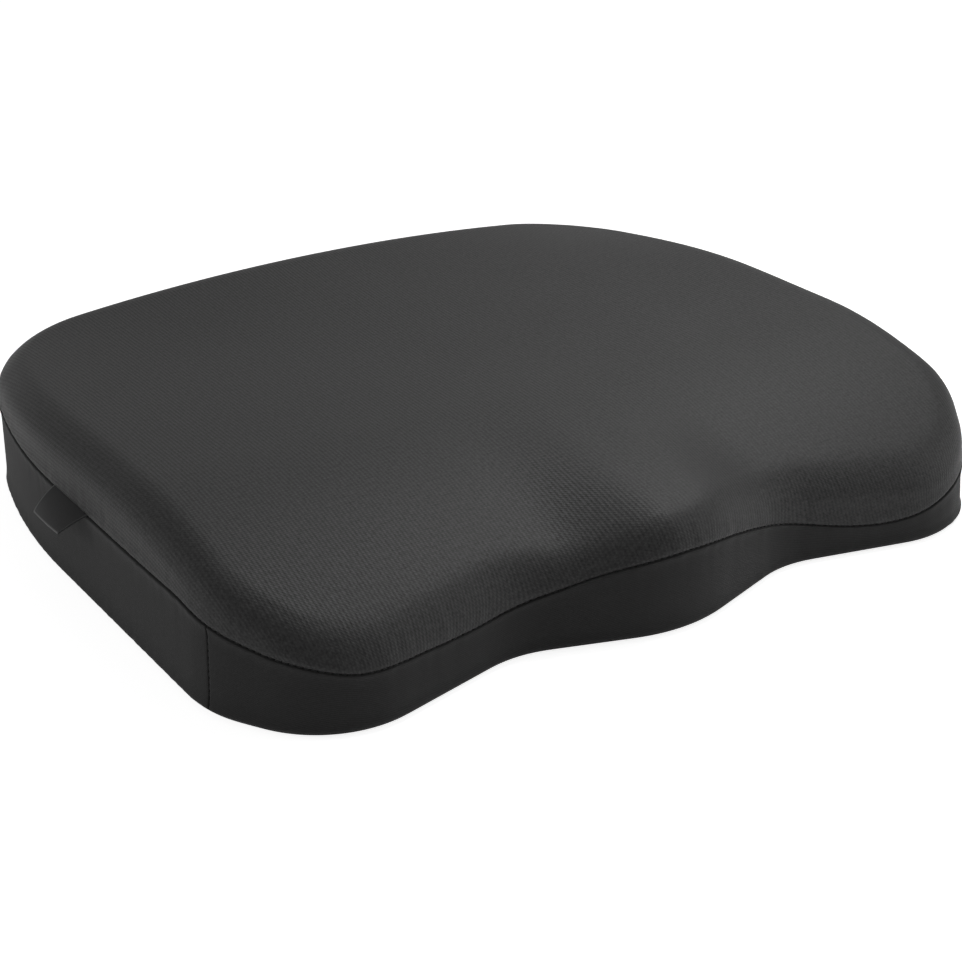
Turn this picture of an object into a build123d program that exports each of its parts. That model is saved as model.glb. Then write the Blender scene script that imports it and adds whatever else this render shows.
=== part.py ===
"""Contoured seat cushion: a foam core in a liner, inside a sewn cover with a zip.

Millimetres. +Z is up, -Y is the scalloped front edge, +Y is the straight rear edge.
The origin is on the surface that the cushion lies on, under the middle of its outline.
"""
import os
from math import cos, radians, sin

from build123d import *

# ---- overall form ----------------------------------------------------------------------
HALF_W = 216                  # half of the width across the seat, X
HALF_D = 182.5                # half of the depth from front to rear, Y
EDGE_ROLL = 15                # radius of the rolled top edge

# right half of the plan outline: corner, and the radius that rounds it
CORNERS = [
    ((0, -186.6), 80),        # bulge in the middle of the front
    ((78, -160.6), 54),       # hollow for the thigh
    ((181.6, -185.8), 53),    # front lobe
    ((HALF_W, -129), 58),     # front corner
    ((HALF_W, 74), 400),      # the sides lean in from here to the rear
    ((197.6, 151), 75),       # rear corner, side half
    ((162, HALF_D), 60),      # rear corner, rear half
]

# height of the top surface above the ground
MIDDLE_HEIGHT = 71            # at the dish in the middle
SIDE_RISE = 7                 # how far the sides stand above the dish
REAR_RISE = 9.5               # how far the middle of the rear edge stands above the dish
REAR_CORNER_FALL = 28         # how far the rear corners fall below that
FRONT_FALL_START = -40        # the seat begins to fall towards the knees here, Y
FRONT_FALL_SPAN = 130
POMMEL_FALL = 14              # fall over that span in the middle, between the thighs
THIGH_FALL = 33               # and in the channel under each thigh
THIGH_X = 70                  # the channels reach their full depth here
FIELD_MARGIN = 12             # height fields reach this far past the outline

# ---- cover -----------------------------------------------------------------------------
CLOTH = 1.5                   # cover cloth with its bonded backing
SEAM_GAP = 0.8                # groove between two sewn cloth edges
THREAD_INSET = 0.4            # depth of the thread under the face of the cloth
THREAD = 0.7                  # thickness of the thread line in the groove
SIDE_SEAM = 47                # height of the top seam along the sides and the rear
FRONT_JOIN_Y = -128           # where the front band is sewn to the side bands
REAR_JOIN_X = 125             # where the side bands are sewn to the zip panel

# top seam along the front edge: X and height of each high and low point
FRONT_SEAM = [(-HALF_W, 38), (-160, 27), (-100, 24.5), (0, 40), (132, 14), (HALF_W, 30)]
FRONT_SEAM_START = -100       # the seam begins to leave its side height here, Y
FRONT_SEAM_END = -160         # and has its full front shape here, Y

# ---- inside ----------------------------------------------------------------------------
LINER = 0.8                   # knitted liner around the foam
LINER_INSET = CLOTH + 1.0     # the cover is 1 mm loose on the liner
FOAM_INSET = LINER_INSET + LINER

# ---- underside -------------------------------------------------------------------------
DOT_RADIUS = 3.5
DOT_DEPTH = 0.8
DOT_PITCH = 23
DOT_MARGIN = 16               # plain cloth left along the edge
DOT_ROWS = 12                 # more rows and columns than fit on either side of the middle

# ---- zip in the rear band --------------------------------------------------------------
ZIP_Z = 24                    # height of the middle of the zip
ZIP_HALF = 120                # half the length of the coils
TAPE = 0.8
TAPE_WIDTH = 12
ROW_GAP = 0.9                 # from the middle of the zip to each row of coils
COIL_WIDTH = 2.1
COIL_DEPTH = 1.9
COIL_FILLET = 0.7
SLOT_HALF = 4.6               # half the height of the opening between the rear bands
STITCH_OFFSET = 7.6           # from the middle of the zip to each row of stitches
STITCH = 0.4
STOP_LENGTH = 2.4
STOP_FILLET = 0.4

SLIDER_LENGTH = 12
SLIDER_WIDTH = 10.4
SLIDER_CORNER = 2.4
SLIDER_CLEAR = 0.3            # running clearance around the coils and the tapes
SLIDER_X = 113.5              # middle of the slider when the zip is closed
PLATE = 1.0                   # thickness of the slider's two plates
LIP = 0.9                     # thickness of the front plate's side lips
LIP_LENGTH = 7
WEDGE_LENGTH = 2.2            # wedge between the two rows of coils
WEDGE_SETBACK = 1.5           # from the slider's end to the wedge
WEDGE_HALF = 0.55
CHANNEL_DEPTH = 4.3           # hollow behind the zip in which the back plate runs
CHANNEL_HALF = 6.2

BRIDGE_WIDTH = 2.4
BRIDGE_LENGTH = 7.5
BRIDGE_WALL = 1.4
BRIDGE_FILLET = 1.2
WINDOW_HEIGHT = 1.7           # window under the bridge
PIN_RADIUS = 0.6
PULL_LENGTH = 27
PULL_WIDTH = 8
PULL_THICK = 1.2
PULL_CORNER = 1.8
PULL_WINDOW = 4.9             # reach of the opening that swings over the bridge
PULL_CLEAR = 0.5              # clearance between the opening and each side of the bridge
GRIP_SLOT = (4.6, 2.4)        # slot near the free end of the pull
GRIP_SETBACK = 4.5            # from the free end to the middle of the slot
PIN_SETBACK = 1.8             # from each side of the pull to the end of the pin

# ---- labels ----------------------------------------------------------------------------
TAG_Y = 7                     # middle of the folded tag that stands out of the left seam
TAG_LENGTH = 38
TAG_REACH = 15                # from the seam to the fold
TAG_THICK = 1.0               # both plies together
TAG_DROOP = 39                # how far it hangs below level, in degrees
TAG_CORNER = 3
LABEL_Y = 92                  # middle of the blank care label inside the left band
LABEL_LENGTH = 34
LABEL_LOW = 8
LABEL_HIGH = 38
LABEL_THICK = 0.4

FAR = 300                     # farther than any part of the cushion reaches


# ---- shared shapes ---------------------------------------------------------------------
def plan(inset, level):
    """The plan outline, moved inwards by inset, as a flat face at a level."""
    left = [((-x, y), radius) for (x, y), radius in CORNERS[:0:-1]]
    corners = CORNERS + left
    points = [point for point, radius in corners]
    radii = [radius for point, radius in corners]
    with BuildSketch(Plane.XY.offset(level)) as sketch:
        with BuildLine():
            FilletPolyline(*points, radius=radii, close=True)
        make_face()
        if inset:
            offset(amount=-inset)
    return sketch.sketch


def ease(value):
    """Smooth step from 0 to 1."""
    value = min(max(value, 0), 1)
    return value * value * (3 - 2 * value)


def top_height(x, y):
    """Height of the seat: dished, raised at the sides and the rear, and falling away at the
    front in two thigh channels with a pommel between them."""
    across = (x / HALF_W) ** 2
    rear = (max(y, 0) / HALF_D) ** 2
    front = (max(FRONT_FALL_START - y, 0) / FRONT_FALL_SPAN) ** 2
    fall = POMMEL_FALL + (THIGH_FALL - POMMEL_FALL) * ease(abs(x) / THIGH_X)
    height = MIDDLE_HEIGHT + SIDE_RISE * across
    height += rear * (REAR_RISE - REAR_CORNER_FALL * across)
    return height - fall * front


def seam_height(x, y):
    """Height of the top seam: level at the sides and the rear, a shallow W at the front."""
    x = min(max(x, -HALF_W), HALF_W)
    for (x_low, z_low), (x_high, z_high) in zip(FRONT_SEAM, FRONT_SEAM[1:]):
        if x_low <= x <= x_high:
            front = z_low + (z_high - z_low) * ease((x - x_low) / (x_high - x_low))
    share = ease((FRONT_SEAM_START - y) / (FRONT_SEAM_START - FRONT_SEAM_END))
    return SIDE_SEAM + share * (front - SIDE_SEAM)


def height_field(height, columns, rows):
    """A smooth surface over the whole plan, as high as height(x, y) everywhere."""
    reach_x = HALF_W + FIELD_MARGIN
    reach_y = HALF_D + FIELD_MARGIN
    grid = []
    for column in range(columns + 1):
        x = reach_x * (2 * column / columns - 1)
        line = []
        for row in range(rows + 1):
            y = reach_y * (2 * row / rows - 1)
            line.append((x, y, height(x, y)))
        grid.append(line)
    return Face.make_surface_from_array_of_points(grid, tol=0.02, min_deg=3, max_deg=5)


def cushion_form(inset):
    """The whole cushion as one solid, inset from the cover's outer face on every side."""
    crown = height_field(lambda x, y: top_height(x, y) - inset, 20, 20)
    with BuildPart() as form:
        extrude(plan(inset, inset), amount=FAR)
        extrude(crown, amount=FAR, dir=(0, 0, -1), mode=Mode.INTERSECT)
        fillet(form.faces().sort_by(Axis.Z)[-1].edges(), radius=EDGE_ROLL - inset)
    return form.part


def seam_surface(rise):
    """The surface that cuts the cover along its top seam, moved up by rise."""
    return height_field(lambda x, y: seam_height(x, y) + rise, 28, 24)


def zip_channel(inset):
    """The hollow behind the zip, grown by inset, in the liner and the foam."""
    depth = CHANNEL_DEPTH + inset
    with BuildPart() as channel:
        with Locations((0, HALF_D - depth, ZIP_Z)):
            Box(
                2 * (ZIP_HALF + 2 + inset),
                2 * depth,
                2 * (CHANNEL_HALF + inset),
                align=(Align.CENTER, Align.MIN, Align.CENTER),
            )
    return channel.part


def save(piece, name):
    """Label a finished piece and write it."""
    piece.label = name
    export_step(piece, f"parts/{name}.step")


os.makedirs("parts", exist_ok=True)

# ---- foam core -------------------------------------------------------------------------
with BuildPart() as foam_core:
    add(cushion_form(FOAM_INSET))
    add(zip_channel(LINER), mode=Mode.SUBTRACT)
save(foam_core.part, "foam_core")

# ---- liner: a closed knitted sleeve around the foam --------------------------------------
with BuildPart() as inner_liner:
    add(cushion_form(LINER_INSET))
    add(zip_channel(0), mode=Mode.SUBTRACT)
    add(foam_core.part, mode=Mode.SUBTRACT)
save(inner_liner.part, "inner_liner")

# ---- cover: one shell, cut along the top seam ---------------------------------------------
BAND_FOOT = CLOTH + SEAM_GAP  # the bands start above the bottom panel


def shell(outer_inset, inner_inset):
    """The skin of the cushion between two insets, above the bottom seam."""
    with BuildPart() as skin:
        add(cushion_form(outer_inset))
        add(cushion_form(inner_inset), mode=Mode.SUBTRACT)
        with Locations((0, 0, BAND_FOOT)):
            Box(
                2 * FAR,
                2 * FAR,
                FAR,
                align=(Align.CENTER, Align.CENTER, Align.MIN),
                mode=Mode.INTERSECT,
            )
    return skin.part


cover_shell = shell(0, CLOTH)
with BuildPart() as top_panel:
    add(cover_shell)
    extrude(seam_surface(SEAM_GAP / 2), amount=FAR, dir=(0, 0, -1), mode=Mode.SUBTRACT)
save(top_panel.part, "top_panel")

with BuildPart() as side_wall:
    add(cover_shell)
    extrude(seam_surface(-SEAM_GAP / 2), amount=FAR, dir=(0, 0, -1), mode=Mode.INTERSECT)


def band(x_low, x_high, y_low, y_high, z_low, z_high):
    """The stretch of the side wall inside a box."""
    with BuildPart() as piece:
        add(side_wall.part)
        with Locations((x_low, y_low, z_low)):
            Box(
                x_high - x_low,
                y_high - y_low,
                z_high - z_low,
                align=(Align.MIN, Align.MIN, Align.MIN),
                mode=Mode.INTERSECT,
            )
    return piece.part


FRONT_END = FRONT_JOIN_Y - SEAM_GAP / 2
SIDE_START = FRONT_JOIN_Y + SEAM_GAP / 2
SIDE_END = REAR_JOIN_X + SEAM_GAP / 2
REAR_END = REAR_JOIN_X - SEAM_GAP / 2
save(band(-FAR, FAR, -FAR, FRONT_END, 0, FAR), "front_band")
save(band(-FAR, -SIDE_END, SIDE_START, FAR, 0, FAR), "left_band")
save(band(SIDE_END, FAR, SIDE_START, FAR, 0, FAR), "right_band")
save(band(-REAR_END, REAR_END, 0, FAR, ZIP_Z + SLOT_HALF, FAR), "rear_band_upper")
save(band(-REAR_END, REAR_END, 0, FAR, 0, ZIP_Z - SLOT_HALF), "rear_band_lower")

# ---- thread lines in the grooves between the cloth edges ---------------------------------
THREAD_END = THREAD_INSET + THREAD
thread_shell = shell(THREAD_INSET, THREAD_END)
with BuildPart() as top_seam_thread:
    add(thread_shell)
    extrude(seam_surface(SEAM_GAP / 2), amount=FAR, dir=(0, 0, -1), mode=Mode.INTERSECT)
    extrude(seam_surface(-SEAM_GAP / 2), amount=FAR, dir=(0, 0, -1), mode=Mode.SUBTRACT)
save(top_seam_thread.part, "top_seam_thread")

with BuildPart() as bottom_seam_thread:
    extrude(plan(THREAD_INSET, CLOTH), amount=SEAM_GAP)
    extrude(plan(THREAD_END, CLOTH), amount=SEAM_GAP, mode=Mode.SUBTRACT)
save(bottom_seam_thread.part, "bottom_seam_thread")

with BuildPart() as join_grooves:
    with Locations((0, FRONT_JOIN_Y, FAR / 2)):
        Box(2 * FAR, SEAM_GAP, FAR)
    with Locations((-REAR_JOIN_X, FAR / 2, FAR / 2), (REAR_JOIN_X, FAR / 2, FAR / 2)):
        Box(SEAM_GAP, FAR, FAR)

with BuildPart() as band_join_threads:
    add(thread_shell)
    extrude(seam_surface(-SEAM_GAP / 2), amount=FAR, dir=(0, 0, -1), mode=Mode.INTERSECT)
    add(join_grooves.part, mode=Mode.INTERSECT)
save(band_join_threads.part, "band_join_threads")

# ---- bottom panel with its printed grip dots ---------------------------------------------
ROW_PITCH = DOT_PITCH * sin(radians(60))
dot_field = plan(DOT_MARGIN, 0).face()
dot_places = []
for row in range(-DOT_ROWS, DOT_ROWS):
    for column in range(-DOT_ROWS, DOT_ROWS):
        place = (DOT_PITCH * (column + row % 2 / 2), ROW_PITCH * (row + 0.5))
        if dot_field.is_inside((*place, 0)):
            dot_places.append(place)

with BuildSketch() as dots:
    with Locations(*dot_places):
        Circle(DOT_RADIUS)

with BuildPart() as bottom_panel:
    extrude(plan(0, 0), amount=CLOTH)
    extrude(dots.sketch, amount=DOT_DEPTH, mode=Mode.SUBTRACT)
save(bottom_panel.part, "bottom_panel")

with BuildPart() as grip_dots:
    extrude(dots.sketch, amount=DOT_DEPTH)
save(grip_dots.part, "grip_dots")

# ---- zip: tapes, coils, stops and stitches, all fixed to the cover -----------------------
TAPE_OUT = HALF_D - CLOTH     # the tapes lie flat against the inside of the rear bands
TAPE_IN = TAPE_OUT - TAPE
COIL_OUT = TAPE_OUT + COIL_DEPTH
ROW_END = ROW_GAP + COIL_WIDTH

for side, name in ((1, "upper"), (-1, "lower")):
    with BuildPart() as zip_tape:
        with Locations((0, (TAPE_IN + TAPE_OUT) / 2, ZIP_Z + side * (ROW_GAP + TAPE_WIDTH / 2))):
            Box(2 * REAR_END, TAPE, TAPE_WIDTH)
    save(zip_tape.part, f"zip_tape_{name}")

    with BuildPart() as zip_coil:
        with Locations((0, TAPE_OUT + COIL_DEPTH / 2, ZIP_Z + side * (ROW_GAP + COIL_WIDTH / 2))):
            Box(2 * ZIP_HALF, COIL_DEPTH, COIL_WIDTH)
        outer_edges = zip_coil.edges().filter_by(Axis.X).group_by(Axis.Y)[-1]
        fillet(outer_edges, radius=COIL_FILLET)
    save(zip_coil.part, f"zip_coil_{name}")

with BuildPart() as zip_top_stops:
    for side in (1, -1):
        stop_middle = ZIP_Z + side * (ROW_GAP + COIL_WIDTH / 2)
        with Locations((ZIP_HALF + STOP_LENGTH / 2, TAPE_OUT + COIL_DEPTH / 2, stop_middle)):
            Box(STOP_LENGTH, COIL_DEPTH, COIL_WIDTH)
    fillet(zip_top_stops.faces().sort_by(Axis.Y)[-2:].edges(), radius=STOP_FILLET)
save(zip_top_stops.part, "zip_top_stops")

with BuildPart() as zip_bottom_stop:
    with Locations((-ZIP_HALF - STOP_LENGTH / 2, TAPE_OUT + COIL_DEPTH / 2, ZIP_Z)):
        Box(STOP_LENGTH, COIL_DEPTH, 2 * ROW_END)
    fillet(zip_bottom_stop.faces().sort_by(Axis.Y)[-1].edges(), radius=STOP_FILLET)
save(zip_bottom_stop.part, "zip_bottom_stop")

with BuildPart() as zip_seam_threads:
    for side in (1, -1):
        with Locations((0, HALF_D + STITCH / 2, ZIP_Z + side * STITCH_OFFSET)):
            Box(2 * ZIP_HALF, STITCH, 2 * STITCH)
save(zip_seam_threads.part, "zip_seam_threads")

# ---- slider: two plates joined by a wedge between the coils, and a bridge for the pull ----
FRONT_IN = COIL_OUT + SLIDER_CLEAR
FRONT_OUT = FRONT_IN + PLATE
BACK_OUT = TAPE_IN - SLIDER_CLEAR
LIP_IN = TAPE_OUT + SLIDER_CLEAR
LIP_START = ROW_END + SLIDER_CLEAR
BRIDGE_OUT = FRONT_OUT + WINDOW_HEIGHT + BRIDGE_WALL
WEDGE_X = SLIDER_X + SLIDER_LENGTH / 2 - WEDGE_SETBACK - WEDGE_LENGTH / 2

with BuildPart() as zip_slider:
    for inner_face in (FRONT_IN, BACK_OUT - PLATE):
        with BuildSketch(Plane.XZ.offset(-inner_face)):
            with Locations((SLIDER_X, ZIP_Z)):
                RectangleRounded(SLIDER_LENGTH, SLIDER_WIDTH, SLIDER_CORNER)
        extrude(amount=-PLATE)
    for side in (1, -1):
        with Locations((SLIDER_X, (LIP_IN + FRONT_IN) / 2, ZIP_Z + side * (LIP_START + LIP / 2))):
            Box(LIP_LENGTH, FRONT_IN - LIP_IN, LIP)
    with Locations((WEDGE_X, (BACK_OUT + FRONT_IN) / 2, ZIP_Z)):
        Box(WEDGE_LENGTH, FRONT_IN - BACK_OUT, 2 * WEDGE_HALF)
    with BuildSketch(Plane.XY.offset(ZIP_Z - BRIDGE_WIDTH / 2)):
        with Locations((SLIDER_X, (FRONT_OUT + BRIDGE_OUT) / 2)):
            Rectangle(BRIDGE_LENGTH, BRIDGE_OUT - FRONT_OUT)
        with Locations((SLIDER_X, FRONT_OUT + WINDOW_HEIGHT / 2)):
            Rectangle(BRIDGE_LENGTH - 2 * BRIDGE_WALL, WINDOW_HEIGHT, mode=Mode.SUBTRACT)
    extrude(amount=BRIDGE_WIDTH)
    bridge_top = zip_slider.faces().sort_by(Axis.Y)[-1]
    fillet(bridge_top.edges().filter_by(Axis.Z), radius=BRIDGE_FILLET)
save(zip_slider.part, "zip_slider")

# ---- pull: a flat tab whose pin passes under the bridge ------------------------------------
PIN_Y = FRONT_OUT + WINDOW_HEIGHT / 2
with BuildPart() as zip_pull:
    with BuildSketch(Plane.XZ.offset(-PIN_Y + PULL_THICK / 2)):
        with Locations((SLIDER_X - PULL_LENGTH / 2, ZIP_Z)):
            RectangleRounded(PULL_LENGTH, PULL_WIDTH, PULL_CORNER)
        with Locations((SLIDER_X - PULL_WINDOW / 2, ZIP_Z)):
            Rectangle(PULL_WINDOW, BRIDGE_WIDTH + 2 * PULL_CLEAR, mode=Mode.SUBTRACT)
        with Locations((SLIDER_X - PULL_LENGTH + GRIP_SETBACK, ZIP_Z)):
            SlotOverall(*GRIP_SLOT, mode=Mode.SUBTRACT)
    extrude(amount=-PULL_THICK)
    with BuildSketch(Plane.XY.offset(ZIP_Z - PULL_WIDTH / 2 + PIN_SETBACK)):
        with Locations((SLIDER_X, PIN_Y)):
            Circle(PIN_RADIUS)
    extrude(amount=PULL_WIDTH - 2 * PIN_SETBACK)
save(zip_pull.part, "zip_pull")

# ---- labels --------------------------------------------------------------------------------
TAG_OUT = (-cos(radians(TAG_DROOP)), 0, -sin(radians(TAG_DROOP)))
TAG_NORMAL = (-sin(radians(TAG_DROOP)), 0, cos(radians(TAG_DROOP)))
tag_plane = Plane(origin=(-HALF_W, TAG_Y, SIDE_SEAM), x_dir=TAG_OUT, z_dir=TAG_NORMAL)
with BuildPart() as side_tag:
    with BuildSketch(tag_plane.offset(-TAG_THICK / 2)) as tag_outline:
        with Locations((-TAG_THICK, 0)):
            Rectangle(TAG_REACH + TAG_THICK, TAG_LENGTH, align=(Align.MIN, Align.CENTER))
        chamfer(tag_outline.vertices().group_by(Axis.X)[0], length=TAG_CORNER)
    extrude(amount=TAG_THICK)
    add(cushion_form(0), mode=Mode.SUBTRACT)
save(side_tag.part, "side_tag")

with BuildPart() as care_label:
    extrude(plan(CLOTH, LABEL_LOW), amount=LABEL_HIGH - LABEL_LOW)
    extrude(plan(CLOTH + LABEL_THICK, LABEL_LOW), amount=FAR, mode=Mode.SUBTRACT)
    with Locations((-FAR / 2, LABEL_Y, FAR / 2)):
        Box(FAR, LABEL_LENGTH, FAR, mode=Mode.INTERSECT)
save(care_label.part, "care_label")
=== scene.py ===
"""Looks of a contoured seat cushion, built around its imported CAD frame.

Metres, in the frame's own axes: +Z up, -Y the scalloped front edge, +Y the rear edge
with the zip, -X the side with the tag.
"""

from math import atan2, cos, pi, radians, sin, tan

import bpy
import numpy as np
from mathutils import Matrix, Vector


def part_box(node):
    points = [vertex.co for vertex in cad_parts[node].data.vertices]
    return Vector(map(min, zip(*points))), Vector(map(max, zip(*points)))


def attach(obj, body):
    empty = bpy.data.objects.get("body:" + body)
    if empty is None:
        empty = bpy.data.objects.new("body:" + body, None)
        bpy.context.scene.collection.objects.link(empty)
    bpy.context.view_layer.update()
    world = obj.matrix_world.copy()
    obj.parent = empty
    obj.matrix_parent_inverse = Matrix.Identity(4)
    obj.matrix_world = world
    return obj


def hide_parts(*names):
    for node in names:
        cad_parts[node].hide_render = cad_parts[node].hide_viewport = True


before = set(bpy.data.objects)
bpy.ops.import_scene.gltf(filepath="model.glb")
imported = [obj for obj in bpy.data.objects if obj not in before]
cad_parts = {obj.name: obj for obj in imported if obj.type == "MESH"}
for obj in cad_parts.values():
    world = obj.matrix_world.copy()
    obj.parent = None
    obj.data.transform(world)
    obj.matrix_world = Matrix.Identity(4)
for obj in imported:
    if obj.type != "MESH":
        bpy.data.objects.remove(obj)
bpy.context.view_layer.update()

MM = 0.001

# ---- form of the cushion ------------------------------------------------------------
HALF_W = 216 * MM
HALF_D = 182.5 * MM

# right half of the plan outline, front to rear: corner, and the radius that rounds it
CORNERS = [
    ((0, -186.6), 80),
    ((78, -160.6), 54),
    ((181.6, -185.8), 53),
    ((216, -129), 58),
    ((216, 74), 400),
    ((197.6, 151), 75),
    ((162, 182.5), 60),
]
MIDDLE_HEIGHT = 71 * MM
SIDE_RISE = 7 * MM
REAR_RISE = 9.5 * MM
REAR_CORNER_FALL = 28 * MM
FRONT_FALL_START = -40 * MM   # the seat begins to fall towards the knees here
FRONT_FALL_SPAN = 130 * MM
POMMEL_FALL = 14 * MM         # fall over that span between the thighs
THIGH_FALL = 33 * MM          # and under them
POMMEL_SHIFT = 8 * MM         # the padding of the pommel sits a little to the right
POMMEL_X = 10 * MM            # half width of its flat
THIGH_X = 64 * MM             # the channels reach their full depth here

# roll of the top edge round the outline: share of the way from front centre to rear
# centre, reach inwards and drop
ROLL = [(0.0, 16, 14), (0.1, 14, 13), (0.28, 16, 13), (0.4, 18, 16), (0.5, 18, 17),
        (0.75, 15, 15), (1.0, 16, 17)]
# how far the top of the wall leans in over its foot
LEAN = [(0.0, 1.0), (0.13, 2.0), (0.28, 2.0), (0.45, 0.5), (1.0, 0.5)]
FOOT_RADIUS = 4 * MM          # rounding of the lower edge
BASE_LIFT = 0.5 * MM          # the base cloth hangs this far above its grip dots
RING = 13 * MM                # distance in from the edge where the flat patches begin

# top seam along the front edge: X and height of each high and low point
FRONT_SEAM = [(-216, 38), (-160, 27), (-100, 24.5), (0, 40), (132, 14), (216, 30)]
SIDE_SEAM = 47 * MM
FRONT_SEAM_START = -100 * MM
FRONT_SEAM_END = -160 * MM

# mesh of the cover
COLUMNS_X = 100               # columns along the front and along the rear
COLUMNS_Y = 72                # columns along each side
BAND_ROWS = 10
TOP_ROWS = 14
ARC_STEPS = 24                # steps round each corner of the outline
RELAX_STEPS = 40              # rounds of evening out inside a ring


def ease(value):
    """Smooth step from 0 to 1."""
    value = np.clip(value, 0, 1)
    return value * value * (3 - 2 * value)


def walk_outline(step=0.5 * MM):
    """Dense walk round the outline, counter-clockwise from the front centre.

    Gives distance walked, position and inward normal at each point."""
    left = [((-x, y), radius) for (x, y), radius in CORNERS[:0:-1]]
    ring = CORNERS + left
    points = np.array([corner for corner, _ in ring]) * MM
    places, normals = [], []
    for i, (_, radius) in enumerate(ring):
        here = points[i]
        into = here - points[i - 1]
        into /= np.linalg.norm(into)
        out = points[(i + 1) % len(ring)] - here
        out /= np.linalg.norm(out)
        turn = atan2(into[0] * out[1] - into[1] * out[0], into @ out)
        radius = radius * MM
        start = here - into * radius * tan(abs(turn) / 2)
        side = np.array([-into[1], into[0]]) * np.sign(turn)
        centre = start + side * radius
        for k in range(ARC_STEPS + 1):
            angle = turn * k / ARC_STEPS
            spoke = -side
            spoke = np.array([
                spoke[0] * cos(angle) - spoke[1] * sin(angle),
                spoke[0] * sin(angle) + spoke[1] * cos(angle),
            ])
            places.append(centre + spoke * radius)
            normals.append(-spoke * np.sign(turn))
    places, normals = np.array(places), np.array(normals)
    half = ARC_STEPS // 2
    places = np.vstack([places[half:], places[: half + 1]])
    normals = np.vstack([normals[half:], normals[: half + 1]])
    walked = np.r_[0, np.cumsum(np.linalg.norm(np.diff(places, axis=0), axis=1))]
    even = np.linspace(0, walked[-1], int(walked[-1] / step) + 1)
    place = np.stack([np.interp(even, walked, places[:, k]) for k in (0, 1)], 1)
    normal = np.stack([np.interp(even, walked, normals[:, k]) for k in (0, 1)], 1)
    normal /= np.linalg.norm(normal, axis=1)[:, None]
    return even, place, normal


WALKED, EDGE, INWARD = walk_outline()
LENGTH = WALKED[-1]


def along_outline(walked):
    """Plan positions and inward normals at distances walked."""
    return [
        np.stack([np.interp(walked, WALKED, table[:, k]) for k in (0, 1)], 1)
        for table in (EDGE, INWARD)
    ]


def knots(table, share):
    """Smooth curve through a short table of (share, value, ...) rows."""
    rows = np.array(table, float)
    out = []
    for column in range(1, rows.shape[1]):
        value = np.full(np.shape(share), rows[0, column])
        for low, high in zip(rows, rows[1:]):
            value += (high[column] - low[column]) * ease((share - low[0]) / (high[0] - low[0]))
        out.append(value * MM)
    return out


def share_round(walked):
    """0 at the front centre, 1 at the rear centre, the same on both sides."""
    return 1 - np.abs(1 - 2 * (np.asarray(walked) % LENGTH) / LENGTH)


def top_height(x, y):
    """Height of the seat before its edge rolls down."""
    across = (x / HALF_W) ** 2
    rear = (np.maximum(y, 0) / HALF_D) ** 2
    front = (np.maximum(FRONT_FALL_START - y, 0) / FRONT_FALL_SPAN) ** 2
    channel = ease((np.abs(x - POMMEL_SHIFT) - POMMEL_X) / (THIGH_X - POMMEL_X))
    fall = POMMEL_FALL + (THIGH_FALL - POMMEL_FALL) * channel
    height = MIDDLE_HEIGHT + SIDE_RISE * across
    height = height + rear * (REAR_RISE - REAR_CORNER_FALL * across)
    return height - fall * front


def seam_height(x, y):
    """Height of the top seam: level at the sides and rear, a shallow W at the front."""
    front = np.full(np.shape(x), FRONT_SEAM[0][1] * MM)
    for (x_low, z_low), (x_high, z_high) in zip(FRONT_SEAM, FRONT_SEAM[1:]):
        front = front + (z_high - z_low) * MM * ease((x / MM - x_low) / (x_high - x_low))
    share = ease((FRONT_SEAM_START - y) / (FRONT_SEAM_START - FRONT_SEAM_END))
    return SIDE_SEAM + share * (front - SIDE_SEAM)


def rolled_height(x, y, distance, reach, drop):
    """Height of the top surface at a distance in from the outline."""
    inside = np.clip(1 - distance / reach, 0, 1)
    return top_height(x, y) - drop * (1 - np.sqrt(1 - inside**2))


def profile(column_walked, steps=160):
    """Cross-section of the cover at each column: from the foot up, over the roll, to the
    ring. Gives points (steps, columns, 3) and the distance climbed."""
    place, inward = along_outline(column_walked)
    share = share_round(column_walked)
    reach, drop = knots(ROLL, share)
    (lean,) = knots(LEAN, share)
    roll_end = np.arccos(1 - (RING - lean) / reach)
    half = steps // 2
    inset, height = [], []
    shoulder = top_height(place[:, 0], place[:, 1]) - drop
    for k in range(half):
        t = k / half
        z = FOOT_RADIUS + (shoulder - FOOT_RADIUS) * t
        inset.append(lean * t)
        height.append(z)
    for k in range(steps - half):
        angle = roll_end * k / (steps - half - 1)
        distance = reach * (1 - np.cos(angle))
        spot = place + inward * (lean + distance)[:, None]
        inset.append(lean + distance)
        height.append(rolled_height(spot[:, 0], spot[:, 1], distance, reach, drop))
    inset, height = np.array(inset), np.array(height)
    flat = place[None] + inward[None] * inset[..., None]
    points = np.concatenate([flat, height[..., None]], 2)
    climbed = np.r_[
        np.zeros((1, len(place))),
        np.cumsum(np.linalg.norm(np.diff(points, axis=0), axis=2), axis=0),
    ]
    return points, climbed


# ---- mesh of the filled cover --------------------------------------------------------
def facing(direction):
    """Distance walked to where the outline faces a diagonal direction."""
    return WALKED[(-INWARD @ np.array(direction)).argmax()]


START = facing((-1, -1)) - LENGTH     # the first column, at the front left corner


def column_places():
    """Distance walked to every column, counter-clockwise from the front left corner."""
    stops = [START, facing((1, -1)), facing((1, 1)), facing((-1, 1)), START + LENGTH]
    counts = [COLUMNS_X, COLUMNS_Y, COLUMNS_X, COLUMNS_Y]
    return np.concatenate([
        np.linspace(low, high, count, endpoint=False)
        for low, high, count in zip(stops, stops[1:], counts)
    ])


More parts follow.
